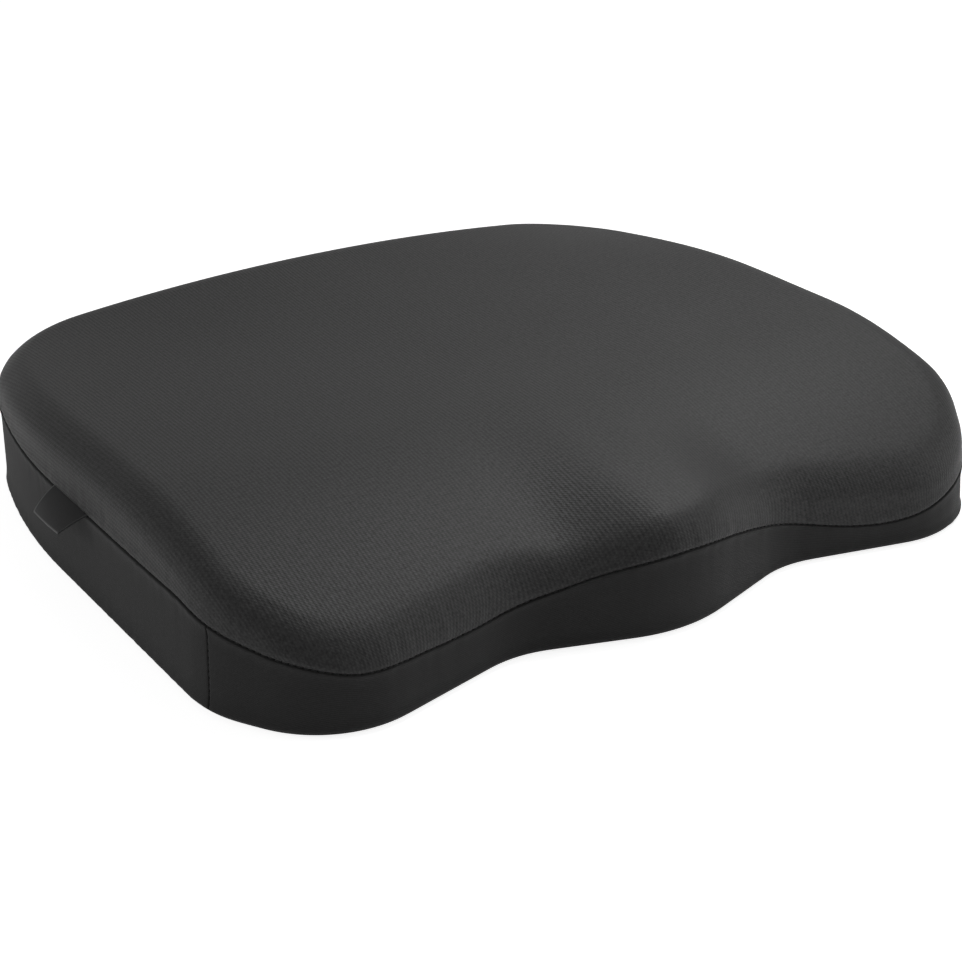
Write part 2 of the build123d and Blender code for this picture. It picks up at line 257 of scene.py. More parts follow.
def ring_index(start):
    """Vertex numbers of a patch's border, set out on its grid; -1 inside."""
    nx, ny = COLUMNS_X, COLUMNS_Y
    ring = start + np.arange(2 * (nx + ny))
    index = np.full((nx + 1, ny + 1), -1)
    index[:, 0] = ring[: nx + 1]
    index[nx, :] = ring[nx : nx + ny + 1]
    index[:, ny] = ring[nx + ny : 2 * nx + ny + 1][::-1]
    index[0, :] = np.r_[ring[2 * nx + ny :], ring[0]][::-1]
    return index


def fill_ring(ring):
    """Even plan positions inside a closed ring of columns, (columns x, columns y, 2)."""
    index = ring_index(0)
    grid = ring[index]
    u = np.linspace(0, 1, COLUMNS_X + 1)[:, None, None]
    v = np.linspace(0, 1, COLUMNS_Y + 1)[None, :, None]
    even = (1 - v) * grid[:, :1] + v * grid[:, -1:] + (1 - u) * grid[:1] + u * grid[-1:]
    even = even - (1 - u) * (1 - v) * grid[0, 0] - u * (1 - v) * grid[-1, 0]
    even = even - (1 - u) * v * grid[0, -1] - u * v * grid[-1, -1]
    grid[1:-1, 1:-1] = even[1:-1, 1:-1]
    for _ in range(RELAX_STEPS):
        around = grid[:-2, 1:-1] + grid[2:, 1:-1] + grid[1:-1, :-2] + grid[1:-1, 2:]
        grid[1:-1, 1:-1] = around / 4
    return grid[1:-1, 1:-1].reshape(-1, 2)


def patch_faces(ring_start, inner_start, flip=False):
    """Quads of a patch from the ring of vertices round it and the vertices inside it."""
    index = ring_index(ring_start)
    inner = inner_start + np.arange((COLUMNS_X - 1) * (COLUMNS_Y - 1))
    index[1:-1, 1:-1] = inner.reshape(COLUMNS_X - 1, COLUMNS_Y - 1)
    quads = np.stack([index[:-1, :-1], index[1:, :-1], index[1:, 1:], index[:-1, 1:]], -1)
    quads = quads.reshape(-1, 4)
    return quads[:, ::-1] if flip else quads


def strip_faces(rows, columns, closed=False):
    """Quads of a grid of rows and columns, facing outwards where rows run upwards."""
    last = columns if closed else columns - 1
    here = np.arange(last)
    after = (here + 1) % columns
    low = np.arange(rows - 1)[:, None] * columns
    high = low + columns
    return np.stack([low + here, low + after, high + after, high + here], -1).reshape(-1, 4)


def resample(points, climbed, wanted):
    """Points of every column at the wanted distances climbed, both (rows, columns)."""
    out = np.zeros((len(wanted), points.shape[1], 3))
    for j in range(points.shape[1]):
        for k in range(3):
            out[:, j, k] = np.interp(wanted[:, j], climbed[:, j], points[:, j, k])
    return out


def distance_inside(spots):
    """Distance of plan positions from the outline, and their share of the way round."""
    coarse = slice(None, None, 4)
    gap = np.linalg.norm(spots[:, None] - EDGE[None, coarse], axis=2)
    return gap.min(1), share_round(WALKED[coarse][gap.argmin(1)])


def patch_height(spots):
    """Height of the top surface at plan positions."""
    distance, share = distance_inside(spots)
    reach, drop = knots(ROLL, share)
    (lean,) = knots(LEAN, share)
    inside = np.maximum(distance - lean, 0)
    return rolled_height(spots[:, 0], spots[:, 1], inside, reach, drop) + BASE_LIFT


class Cover:
    """The closed form under the cloth: rows of columns from the base ring up the wall to
    the top ring, and a patch inside each ring."""

    def __init__(self):
        self.around = column_places()
        columns = len(self.around)
        walked = self.around % LENGTH
        place, inward = along_outline(walked)
        self.outward = np.c_[-inward, np.zeros(columns)]
        foot = [(RING, 0), (10 * MM, 0), (6 * MM, 0), (FOOT_RADIUS, 0)]
        foot += [
            (FOOT_RADIUS * (1 - sin(radians(turn))), FOOT_RADIUS * (1 - cos(radians(turn))))
            for turn in (30, 60)
        ]
        foot = np.array([
            np.c_[place + inward * inset, np.full(columns, BASE_LIFT + height)]
            for inset, height in foot
        ])
        points, climbed = profile(walked)
        seam_z = seam_height(place[:, 0], place[:, 1])
        seam = np.array([
            np.interp(seam_z[j], points[:, j, 2], climbed[:, j]) for j in range(columns)
        ])
        band = seam * np.linspace(0, 1, BAND_ROWS + 1)[:, None]
        top = seam + (climbed[-1] - seam) * np.linspace(0, 1, TOP_ROWS + 1)[1:, None]
        wall = resample(points, climbed, np.vstack([band, top]))
        wall[..., 2] += BASE_LIFT
        self.base_row = len(foot) - 1
        self.seam_row = len(foot) + BAND_ROWS
        self.rows = np.concatenate([foot, wall])
        steps = np.linalg.norm(np.diff(self.rows, axis=0), axis=2)
        climb = np.vstack([np.zeros(columns), np.cumsum(steps, axis=0)])
        self.above = climb - climb[self.seam_row]
        top_xy = fill_ring(self.rows[-1, :, :2])
        base_xy = fill_ring(self.rows[0, :, :2])
        self.top = np.c_[top_xy, patch_height(top_xy)]
        self.base = np.c_[base_xy, np.full(len(base_xy), BASE_LIFT)]

    def closed_mesh(self):
        """Vertices and faces of the whole closed form."""
        rows, columns = self.rows.shape[:2]
        verts = np.vstack([self.rows.reshape(-1, 3), self.top, self.base])
        top_start = rows * columns
        faces = np.vstack([
            strip_faces(rows, columns, True),
            patch_faces((rows - 1) * columns, top_start),
            patch_faces(0, top_start + len(self.top), True),
        ])
        return verts, faces

    def take(self, verts):
        """Takes back the moved vertices of the closed mesh."""
        rows, columns = self.rows.shape[:2]
        count = rows * columns
        self.rows = verts[:count].reshape(rows, columns, 3)
        self.top = verts[count : count + len(self.top)]
        self.base = verts[count + len(self.top) :]

    def point(self, around, above):
        """Points of the wall and roll at distances round it (K,) and distances above the
        top seam (J, K)."""
        rows = np.concatenate([self.rows, self.rows[:, :1]], 1)
        climb = np.concatenate([self.above, self.above[:, :1]], 1)
        ends = np.r_[self.around, START + LENGTH]
        spot = np.interp((around - START) % LENGTH + START, ends, np.arange(len(ends)))
        low = np.minimum(spot.astype(int), len(ends) - 2)
        part = spot - low
        rows = rows[:, low] * (1 - part)[:, None] + rows[:, low + 1] * part[:, None]
        climb = climb[:, low] * (1 - part) + climb[:, low + 1] * part
        return resample(rows, climb, above)

    def normal(self, around, above, step=2 * MM):
        """Outward normals of the wall and roll at the same places as point()."""
        along = self.point(around + step, above) - self.point(around - step, above)
        up = self.point(around, above + step / 2) - self.point(around, above - step / 2)
        out = np.cross(along, up)
        return out / np.linalg.norm(out, axis=2)[..., None]

    def level(self, around, height):
        """Distance above the top seam at which the wall has a height."""
        base = self.above.min() * np.ones(len(around))
        steps = np.linspace(base, np.zeros(len(around)), 240)
        z = self.point(around, steps)[..., 2]
        return np.array([
            np.interp(height, z[:, k], steps[:, k]) for k in range(len(around))
        ])


def link_object(name, data):
    """An object in the scene that holds the data."""
    thing = bpy.data.objects.new(name, data)
    bpy.context.scene.collection.objects.link(thing)
    return thing


def shade_smooth(mesh):
    """Smooth shading on every face."""
    mesh.polygons.foreach_set("use_smooth", np.ones(len(mesh.polygons), bool))


def new_object(name, verts, faces, uv=None):
    """A smooth-shaded mesh object; uv is one pair of metres for each vertex."""
    mesh = bpy.data.meshes.new(name)
    faces = faces.tolist() if isinstance(faces, np.ndarray) else faces
    mesh.from_pydata(np.asarray(verts).tolist(), [], faces)
    mesh.update()
    if uv is not None:
        layer = mesh.uv_layers.new(name="cloth")
        loops = np.zeros(len(mesh.loops), np.int32)
        mesh.loops.foreach_get("vertex_index", loops)
        layer.data.foreach_set("uv", np.asarray(uv)[loops].astype(np.float32).ravel())
    shade_smooth(mesh)
    return link_object(name, mesh)


def apply_modifier(piece):
    """Replaces a piece's mesh by its modified one."""
    graph = bpy.context.evaluated_depsgraph_get()
    old = piece.data
    mesh = bpy.data.meshes.new_from_object(piece.evaluated_get(graph))
    piece.modifiers.clear()
    piece.data = mesh
    mesh.name = piece.name
    bpy.data.meshes.remove(old)
    shade_smooth(mesh)
    return piece


def move_points(mesh, places):
    """Moves every vertex of a mesh."""
    mesh.vertices.foreach_set("co", places.astype(np.float32).ravel())
    mesh.update()


def positions(mesh):
    """Vertex positions of a mesh."""
    co = np.zeros(len(mesh.vertices) * 3, np.float32)
    mesh.vertices.foreach_get("co", co)
    return co.reshape(-1, 3).astype(float)


def normals(mesh):
    """Vertex normals of a mesh."""
    out = np.zeros(len(mesh.vertices) * 3, np.float32)
    mesh.vertex_normals.foreach_get("vector", out)
    return out.reshape(-1, 3).astype(float)


# the cloth is cut a little small and swells back over the foam under it
SHRINK = 0.8 * MM
SWELL_CAP = 2.6 * MM
CLOTH = {
    "quality": 5,
    "mass": 0.3,
    "tension_stiffness": 12,
    "compression_stiffness": 12,
    "shear_stiffness": 5,
    "bending_stiffness": 0.4,
    "use_pressure": True,
    "uniform_pressure_force": 4.0,
    "vertex_group_mass": "held",
}
FRAMES = 20
WALL_HOLD = 0.35              # how firmly the foam holds each stretch of cloth in place
ROLL_HOLD = 0.55
TOP_HOLD = 0.75
# the straight part of the rear wall, round the zip
STRAIGHT_X = 148 * MM
STRAIGHT_Y = 150 * MM
STRAIGHT_Z = 52 * MM
STRAIGHT_FADE = 20 * MM


def fill_cover(cover):
    """Fills the sewn cover with a cloth simulation, held at its seams and base."""
    verts, faces = cover.closed_mesh()
    body = new_object("sewn_cover", verts, faces)
    out = normals(body.data)
    rows, columns = cover.rows.shape[:2]
    held = np.zeros((rows, columns))
    held[: cover.base_row + 2] = 1
    held[cover.seam_row] = 1
    held[cover.base_row + 2 : cover.seam_row] = WALL_HOLD
    held[cover.seam_row + 1 :] = ROLL_HOLD
    hold = np.r_[held.ravel(), np.full(len(cover.top), TOP_HOLD), np.ones(len(cover.base))]
    x, y, z = verts.T
    straight = ease((y - STRAIGHT_Y) / STRAIGHT_FADE) * ease((STRAIGHT_X - abs(x)) / STRAIGHT_FADE)
    hold = np.maximum(hold, np.where(z < STRAIGHT_Z, straight, 0))
    start = verts - out * (SHRINK * (1 - hold))[:, None]
    body.data.vertices.foreach_set("co", start.astype(np.float32).ravel())
    group = body.vertex_groups.new(name="held")
    for weight in np.unique(hold.round(2)):
        members = np.flatnonzero(hold.round(2) == weight)
        group.add(members.tolist(), float(weight), "REPLACE")
    cloth = body.modifiers.new("cloth", "CLOTH")
    for key, value in CLOTH.items():
        setattr(cloth.settings, key, value)
    cloth.settings.effector_weights.gravity = 0
    cloth.point_cache.frame_start = 1
    cloth.point_cache.frame_end = FRAMES
    scene = bpy.context.scene
    for number in range(1, FRAMES + 1):
        scene.frame_set(number)
    graph = bpy.context.evaluated_depsgraph_get()
    filled = positions(body.evaluated_get(graph).data)
    scene.frame_set(1)
    mesh = body.data
    bpy.data.objects.remove(body)
    bpy.data.meshes.remove(mesh)
    move = filled - verts
    size = np.linalg.norm(move, axis=1)
    move *= np.minimum(1, SWELL_CAP / np.maximum(size, 1e-9))[:, None]
    cover.take(verts + move)


cover = Cover()
fill_cover(cover)


# ---- panels of the cover -------------------------------------------------------------
# a sewn edge: distance in from the seam line and how far the cloth stands proud there
TOP_EDGE = [(0.3, -2.6), (0.3, -1.3), (0.35, -0.45), (0.9, 0.15), (2.0, 0.5), (4.0, 0.35)]
BAND_EDGE = [(0.3, -2.6), (0.25, -1.3), (0.3, -0.3), (0.6, 0.3), (1.2, 0.5), (2.4, 0.3), (4.5, 0.1)]
SIDE_EDGE = [(0.25, -2.0), (0.25, -0.9), (0.35, -0.25), (0.9, 0.05), (2.2, 0.0), (4.5, 0.0)]
SLOT_EDGE = [(0.0, -1.2), (0.0, -0.6), (0.25, -0.1), (0.9, 0.05), (2.2, 0.0)]
STITCH = 3.2 * MM             # length of a stitch
PULL = 0.07 * MM              # how far each stitch pulls the cloth in
PULL_REACH = 1.6 * MM
PUCKERS = (7.3, 11.0, 17.0)   # lengths of the puckers along a seam, mm
DRIFTS = (120, 210)           # and of their swelling and fading
SEAM_BELT = 6.5 * MM          # belt of finer rows along the top seam
FAR = 0.1                     # distance from the seam given to the middle of the top


def edge_arrays(edge):
    """Distances and proud heights of a sewn edge, in metres."""
    table = np.array(edge) * MM
    return table[:, 0], table[:, 1]


def smooth_subdivide(piece):
    """One level of subdivision, applied."""
    modifier = piece.modifiers.new("smooth", "SUBSURF")
    modifier.levels = 1
    modifier.render_levels = 1
    modifier.uv_smooth = "PRESERVE_BOUNDARIES"
    modifier.boundary_smooth = "PRESERVE_CORNERS"
    return apply_modifier(piece)


def add_floats(mesh, name, values):
    """A number stored at every vertex."""
    attribute = mesh.attributes.new(name, "FLOAT", "POINT")
    attribute.data.foreach_set("value", np.asarray(values, np.float32))


def read_floats(mesh, name):
    """The numbers stored at every vertex."""
    values = np.zeros(len(mesh.vertices), np.float32)
    mesh.attributes[name].data.foreach_get("value", values)
    return values.astype(float)


def ripple(around, lengths, seed):
    """An uneven wave from -1 to 1 along a seam, from waves of a few lengths that each
    fit a whole number of times."""
    rng = np.random.default_rng(seed)
    total = np.zeros(len(around))
    for length in lengths:
        turns = round(LENGTH / (length * MM))
        total += np.sin(2 * pi * turns * around / LENGTH + rng.uniform(0, 2 * pi))
    return total / len(lengths)


def pucker(piece, around, gap, depth, seed, reach=9 * MM):
    """Gathers the cloth into small puckers along a seam, dying out away from it."""
    mesh = piece.data
    out = normals(mesh)
    fade = np.exp(-gap / reach) * ease((gap - 0.2 * MM) / (1.2 * MM))
    wave = ripple(around, PUCKERS, seed)
    slow = 0.6 + 0.4 * ripple(around, DRIFTS, seed + 1)
    move = depth * wave * slow * fade
    stitch = np.cos(2 * pi * round(LENGTH / STITCH) * around / LENGTH)
    move += PULL * stitch * np.exp(-gap / PULL_REACH)
    move_points(mesh, positions(mesh) + out * move[:, None])


def turn_attributes(mesh, around):
    """Distance round the cushion, stored as a turn so that subdivision can average it."""
    angle = 2 * pi * np.asarray(around) / LENGTH
    add_floats(mesh, "turn_cos", np.cos(angle))
    add_floats(mesh, "turn_sin", np.sin(angle))


def turn_back(mesh):
    """Distance round the cushion, read back after subdivision."""
    angle = np.arctan2(read_floats(mesh, "turn_sin"), read_floats(mesh, "turn_cos"))
    return angle * LENGTH / (2 * pi)


def drop_attributes(mesh, *names):
    """Removes stored numbers."""
    for name in names:
        mesh.attributes.remove(mesh.attributes[name])


def make_top_panel():
    """The top cloth, rolled down to its seam all round."""
    columns = len(cover.around)
    gap, proud = edge_arrays(TOP_EDGE)
    free = SEAM_BELT
    steps = np.linspace(0, 1, TOP_ROWS + 2)[:, None]
    above = np.vstack([
        gap[:, None] * np.ones(columns),
        free + (cover.above[-1] - free) * steps,
    ])
    proud = np.r_[proud, np.zeros(len(steps))]
    points = cover.point(cover.around, above)
    points[-1] = cover.rows[-1]
    under_ring = np.minimum(above, cover.above[-1] - 2 * MM)
    points += cover.normal(cover.around, under_ring) * proud[:, None, None]
    rows = len(points)
    verts = np.vstack([points.reshape(-1, 3), cover.top])
    faces = np.vstack([
        strip_faces(rows, columns, True),
        patch_faces((rows - 1) * columns, rows * columns),
    ])
    ring = cover.rows[-1, :, :2]
    spread = cover.above[-1] - above
    flat = ring + cover.outward[:, :2] * spread[..., None]
    uv = np.vstack([flat.reshape(-1, 2), cover.top[:, :2]])
    piece = new_object("top_panel_cloth", verts, faces, uv)
    turn_attributes(piece.data, np.r_[np.tile(cover.around, rows), np.zeros(len(cover.top))])
    add_floats(piece.data, "seam_gap", np.r_[above.ravel(), np.full(len(cover.top), FAR)])
    smooth_subdivide(piece)
    pucker(piece, turn_back(piece.data), read_floats(piece.data, "seam_gap"), 0.45 * MM, 11)
    drop_attributes(piece.data, "turn_cos", "turn_sin", "seam_gap")
    return piece


END_STRIP = 9 * MM            # stretch of finer columns at each end of a band
STRIP_ROWS = 7                # rows between the two sewn edges of a band
DEEPEST = -2.6 * MM           # sewn edges lie no deeper than this where two meet
EDGE_SHARE = 0.45             # most of a band's height that one sewn edge takes


def make_strip(name, start, end, low_edge, high_edge, low, high, seed, pitch=4.2 * MM):
    """A band panel between two distances round, from low to high above the top seam.

    low and high are functions of the distances round; an edge is a sewn-edge table."""
    end_gap, end_proud = edge_arrays(SIDE_EDGE)
    inner = np.arange(start + END_STRIP, end - END_STRIP, pitch)
    inner = np.linspace(start + END_STRIP, end - END_STRIP, len(inner) + 1)
    around = np.r_[start + end_gap, inner, (end - end_gap)[::-1]]
    column_proud = np.r_[end_proud, np.zeros(len(inner)), end_proud[::-1]]
    low_gap, low_proud = edge_arrays(low_edge)
    high_gap, high_proud = edge_arrays(high_edge)
    low, high = low(around), high(around)
    scale = np.minimum(1, (high - low) * EDGE_SHARE / max(low_gap[-1], high_gap[-1]))
    from_low = low + low_gap[:, None] * scale
    from_high = high - (high_gap[:, None] * scale)[::-1]
    steps = np.linspace(0, 1, STRIP_ROWS + 2)[1:-1, None]
    middle = from_low[-1] + (from_high[0] - from_low[-1]) * steps
    above = np.vstack([from_low, middle, from_high])
    row_proud = np.r_[low_proud, np.zeros(STRIP_ROWS), high_proud[::-1]]
    proud = np.maximum(row_proud[:, None] + column_proud[None], DEEPEST)
    points = cover.point(around, above) + cover.normal(around, above) * proud[..., None]
    uv = np.stack([np.broadcast_to(around, above.shape), above], -1)
    rows, columns = above.shape
    faces = strip_faces(rows, columns)
    piece = new_object(name, points.reshape(-1, 3), faces, uv.reshape(-1, 2))
    turn_attributes(piece.data, np.tile(around, rows))
    add_floats(piece.data, "top_gap", (high - above).ravel())
    add_floats(piece.data, "low_gap", (above - low).ravel())
    smooth_subdivide(piece)
    walked = turn_back(piece.data)
    pucker(piece, walked, read_floats(piece.data, "top_gap"), 0.35 * MM, seed)
    pucker(piece, walked, read_floats(piece.data, "low_gap"), 0.25 * MM, seed + 40, 6 * MM)
    drop_attributes(piece.data, "turn_cos", "turn_sin", "top_gap", "low_gap")
    return piece


def base_line(around):
    """Distance above the top seam, below zero, of the base seam."""
    return np.interp(
        (around - START) % LENGTH + START,
        np.r_[cover.around, START + LENGTH],
        np.r_[cover.above[cover.base_row], cover.above[cover.base_row, 0]],
    )


def top_line(around):
    """The top seam itself."""
    return np.zeros(len(around))


SIDE_X = 180 * MM             # the outline is at a side beyond this X
REAR_Y = 170 * MM             # and at the rear beyond this Y


def place_y(y, side):
    """Distance walked to where the outline crosses a Y, on the +X or -X side."""
    on_side = EDGE[:, 0] * side > SIDE_X
    return WALKED[on_side][abs(EDGE[on_side, 1] - y).argmin()]


def place_x(x):
    """Distance walked to where the rear edge crosses an X."""
    at_rear = EDGE[:, 1] > REAR_Y
    return WALKED[at_rear][abs(EDGE[at_rear, 0] - x).argmin()]


FRONT_JOIN_Y = -128 * MM
REAR_JOIN_X = 125 * MM
SLIDER_LOW, SLIDER_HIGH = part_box("zip_slider")
ZIP_Z = SLIDER_LOW.z / 2 + SLIDER_HIGH.z / 2
SLOT_HALF = 4.6 * MM          # half the height of the opening between the rear bands

right_join = place_y(FRONT_JOIN_Y, 1)
left_join = place_y(FRONT_JOIN_Y, -1)
rear_right_join = place_x(REAR_JOIN_X)
rear_left_join = place_x(-REAR_JOIN_X)


def slot_top(around):
    """Upper side of the opening round the zip."""
    return cover.level(around, ZIP_Z + SLOT_HALF)


def slot_bottom(around):
    """Lower side of the opening round the zip."""
    return cover.level(around, ZIP_Z - SLOT_HALF)


def make_bands():
    """Front, side and rear bands between the top seam and the base seam."""
    sewn = BAND_EDGE
    right, rear, left = right_join, rear_right_join, rear_left_join
    stretches = {
        "front_band": ("front_band_cloth", left_join - LENGTH, right, sewn, sewn, base_line, top_line),
        "right_band": ("right_band_cloth", right, rear, sewn, sewn, base_line, top_line),
        "rear_band_upper": ("rear_upper_cloth", rear, left, SLOT_EDGE, sewn, slot_top, top_line),
        "rear_band_lower": ("rear_lower_cloth", rear, left, sewn, SLOT_EDGE, base_line, slot_bottom),
        "left_band": ("left_band_cloth", left, left_join, sewn, sewn, base_line, top_line),
    }
    return {
        node: make_strip(*stretch, 21 + number)
        for number, (node, stretch) in enumerate(stretches.items())
    }


def make_base():
    """The base cloth, turned up at its rim to the base seam."""
    columns = len(cover.around)
    gap, proud = edge_arrays(SIDE_EDGE)
    rim = cover.above[cover.base_row]
    inner = cover.above[0]
    steps = np.linspace(0, 1, 5)[:, None]
    near = rim - 6 * MM
    above = np.vstack([rim - gap[:, None], near + (inner - near) * steps])[::-1]
    proud = np.r_[proud, np.zeros(5)][::-1]
    points = cover.point(cover.around, above)
    points[0] = cover.rows[0]
    off_ring = np.maximum(above, inner + 2 * MM)
    points += cover.normal(cover.around, off_ring) * proud[:, None, None]
    rows = len(points)
    verts = np.vstack([points.reshape(-1, 3), cover.base])
    faces = np.vstack([
        strip_faces(rows, columns, True),
        patch_faces(0, rows * columns, True),
    ])
    spread = above - inner
    flat = cover.rows[0, :, :2] + cover.outward[:, :2] * spread[..., None]
    uv = np.vstack([flat.reshape(-1, 2), cover.base[:, :2]])
    return smooth_subdivide(new_object("base_cloth_panel", verts, faces, uv))


top_panel = make_top_panel()
bands = make_bands()
base_panel = make_base()


# ---- foam, liner and small sewn parts ------------------------------------------------
ZIP_BACK = SLIDER_LOW.y - 0.7 * MM    # the liner stays this far in behind the slider
# half size of the hollow behind the zip, and of its rounded rim
HOLLOW_X = 134 * MM
HOLLOW_Z = 19 * MM
RIM_X = 8 * MM
RIM_Z = 5 * MM


def inner_form(name, inset, back):
    """A closed form inside the cover, hollowed behind the zip."""
    verts, faces = cover.closed_mesh()
    piece = new_object(name, verts, faces)
    verts = verts - normals(piece.data) * inset
    x, y, z = verts.T
    near = ease((HOLLOW_X - abs(x)) / RIM_X) * ease((HOLLOW_Z - abs(z - ZIP_Z)) / RIM_Z)
    verts[:, 1] = y - np.where(y > STRAIGHT_Y, near * np.maximum(y - back, 0), 0)
    move_points(piece.data, verts)
    return piece


def make_stitches(name, middles, along, out, length, radius, arch=0.5):
    """Short rounded stitches lying along a line, each a little arched."""
    sides, shape = 6, [(-1, 0.3), (-0.8, 0.85), (0, 1), (0.8, 0.85), (1, 0.3)]
    across = np.cross(out, along)
    turn = 2 * pi * np.arange(sides) / sides
    verts = []
    for t, width in shape:
        centre = middles + along * (t * length / 2) - out * (arch * radius * t * t)
        spoke = out[:, None] * np.cos(turn)[:, None] + across[:, None] * np.sin(turn)[:, None]
        verts.append(centre[:, None] + spoke * radius * width)
    verts = np.stack(verts, 1).reshape(-1, 3)
    rings, size = len(shape), len(shape) * sides
    here = np.arange(sides)
    quads = strip_faces(rings, sides, True)
    faces = []
    for i in range(len(middles)):
        faces += (quads + i * size).tolist()
        faces.append((here[::-1] + i * size).tolist())
        faces.append((here + (rings - 1) * sides + i * size).tolist())
    return new_object(name, verts, faces)


def unit(vectors):
    """The same directions, one long."""
    return vectors / np.linalg.norm(vectors, axis=-1)[..., None]


def seam_stitches(name, line, depth):
    """Stitches sunk in a seam that runs all the way round."""
    count = round(LENGTH / STITCH)
    around = START + LENGTH * (np.arange(count) + 0.5) / count
    above = line(around)[None]
    out = cover.normal(around, above)[0]
    middle = cover.point(around, above)[0] - out * depth
    along = unit(np.roll(middle, -1, 0) - np.roll(middle, 1, 0))
    return make_stitches(name, middle, along, out, STITCH * 0.78, 0.32 * MM)


def join_stitches(name, joins, depth):
    """Stitches down the upright joins between the bands."""
    parts = []
    for join in joins:
        around = np.array([join % LENGTH])
        low, high = base_line(around)[0] + 3 * MM, -3 * MM
        count = int((high - low) / STITCH)
        above = low + STITCH * (np.arange(count) + 0.5)
        points = np.array([cover.point(around, np.array([[a]]))[0, 0] for a in above])
        outs = np.array([cover.normal(around, np.array([[a]]))[0, 0] for a in above])
        parts.append((points - outs * depth, outs))
    middle = np.vstack([p for p, o in parts])
    out = np.vstack([o for p, o in parts])
    along = np.tile([0.0, 0.0, 1.0], (len(middle), 1))
    along = unit(along - out * (along * out).sum(1)[:, None])
    return make_stitches(name, middle, along, out, STITCH * 0.78, 0.3 * MM)


rear_order = np.flatnonzero(EDGE[:, 1] > REAR_Y)[::-1]
ZIP_STITCH_OFFSET = 7.6 * MM  # from the middle of the zip to each row
ZIP_STITCH_PROUD = 0.12 * MM


def zip_stitches(name):
    """Two straight rows of topstitching that hold the zip tapes."""
    count = int(2 * REAR_JOIN_X / STITCH) - 2
    x = (np.arange(count) - (count - 1) / 2) * STITCH
    rows = []
    for side in (-1, 1):
        around = np.interp(x, EDGE[rear_order, 0], WALKED[rear_order])
        above = cover.level(around, ZIP_Z + side * ZIP_STITCH_OFFSET)[None]
        rows.append(cover.point(around, above)[0])
    middle = np.vstack(rows) + np.array([0, ZIP_STITCH_PROUD, 0])
    along = np.tile([1.0, 0.0, 0.0], (len(middle), 1))
    out = np.tile([0.0, 1.0, 0.0], (len(middle), 1))
    return make_stitches(name, middle, along, out, STITCH * 0.76, 0.34 * MM, 0.8)


DOT_PITCH = 23 * MM
DOT_ROW = DOT_PITCH * 0.866
# radius and height of each ring of a dome, from its rim to its top; dots lie face down
DOT_SHAPE = [(3.5, 0.62), (3.5, 0.42), (3.3, 0.24), (2.7, 0.1), (1.8, 0.03), (0.8, 0.0)]


def make_dots(name):
    """Low silicone domes where the CAD's grip dots are."""
    spots = positions(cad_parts["grip_dots"].data)
    row = np.round(spots[:, 1] / DOT_ROW - 0.5).astype(int)
    column = np.round(spots[:, 0] / DOT_PITCH - (row % 2) / 2).astype(int)
    cells = np.unique(np.stack([row, column], 1), axis=0)
    along = DOT_PITCH * (cells[:, 1] + (cells[:, 0] % 2) / 2)
    centre = np.stack([along, DOT_ROW * (cells[:, 0] + 0.5)], 1)
    sides, rings, rim = 18, len(DOT_SHAPE), DOT_SHAPE[0][0]
    rng = np.random.default_rng(3)
    turn = 2 * pi * np.arange(sides) / sides
    quads = strip_faces(rings, sides, True)[:, [1, 0, 3, 2]]
    here = np.arange(sides)
    verts, faces = [], []
    for x, y in centre:
        start = len(verts)
        wobble = 0.025 * np.sin(2 * turn + rng.uniform(0, 6))
        wobble += 0.02 * np.sin(3 * turn + rng.uniform(0, 6))
        size = rng.uniform(0.96, 1.02)
        for radius, z in DOT_SHAPE:
            r = radius * size * MM * (1 + wobble * radius / rim)
            ring = [x + r * np.cos(turn), y + r * np.sin(turn), np.full(sides, z * MM)]
            verts += np.stack(ring, 1).tolist()
        faces += (start + quads).tolist()
        faces.append((start + (rings - 1) * sides + here)[::-1].tolist())
        faces.append((start + here).tolist())
    return new_object(name, verts, faces)


def thicken(piece, thickness, offset=0.0):
    """Gives a single sheet its thickness."""
    modifier = piece.modifiers.new("thickness", "SOLIDIFY")
    modifier.thickness = thickness
    modifier.offset = offset
    modifier.use_even_offset = True
    return apply_modifier(piece)


TAG_START = -12 * MM
TAG_END = 26 * MM
TAG_REACH = 15 * MM
TAG_ROOT = 2.5 * MM           # the stretch sewn into the seam
TAG_DROOP = (17, 38)          # slope at its front and rear end, degrees below level
TAG_PLY = 0.32 * MM           # half the distance between its two plies


def make_tag(name):
    """A blank ribbon loop sewn into the top seam on the -X side, standing out and
    drooping more towards its rear end."""
    ys = np.linspace(TAG_START, TAG_END, 40)
    reach = np.linspace(-TAG_ROOT, TAG_REACH, 16)
    turns = np.radians(np.linspace(60, -60, 4))
    path = np.r_[reach, TAG_REACH + TAG_PLY * np.cos(turns), reach[::-1]]
    lift = np.r_[np.full(16, TAG_PLY), TAG_PLY * np.sin(turns), np.full(16, -TAG_PLY)]
    run = np.r_[0, np.cumsum(np.hypot(np.diff(path), np.diff(lift)))]
    verts = np.zeros((len(ys), len(path), 3))
    for i, y in enumerate(ys):
        along = i / (len(ys) - 1)
        root = cover.point(np.array([place_y(y, -1)]), np.array([[0.0]]))[0, 0]
        droop = TAG_DROOP[0] + (TAG_DROOP[1] - TAG_DROOP[0]) * along
        bend = np.radians(droop) * (0.8 + 0.35 * np.maximum(path, 0) / TAG_REACH)
        verts[i, :, 0] = root[0] - path * np.cos(bend) - lift * np.sin(bend)
        verts[i, :, 1] = y
        verts[i, :, 2] = root[2] - path * np.sin(bend) + lift * np.cos(bend)
    uv = np.stack(np.broadcast_arrays((ys - TAG_START)[:, None], run), -1)
    faces = strip_faces(len(ys), len(path))
    piece = new_object(name, verts.reshape(-1, 3), faces, uv.reshape(-1, 2))
    return thicken(piece, 0.3 * MM)


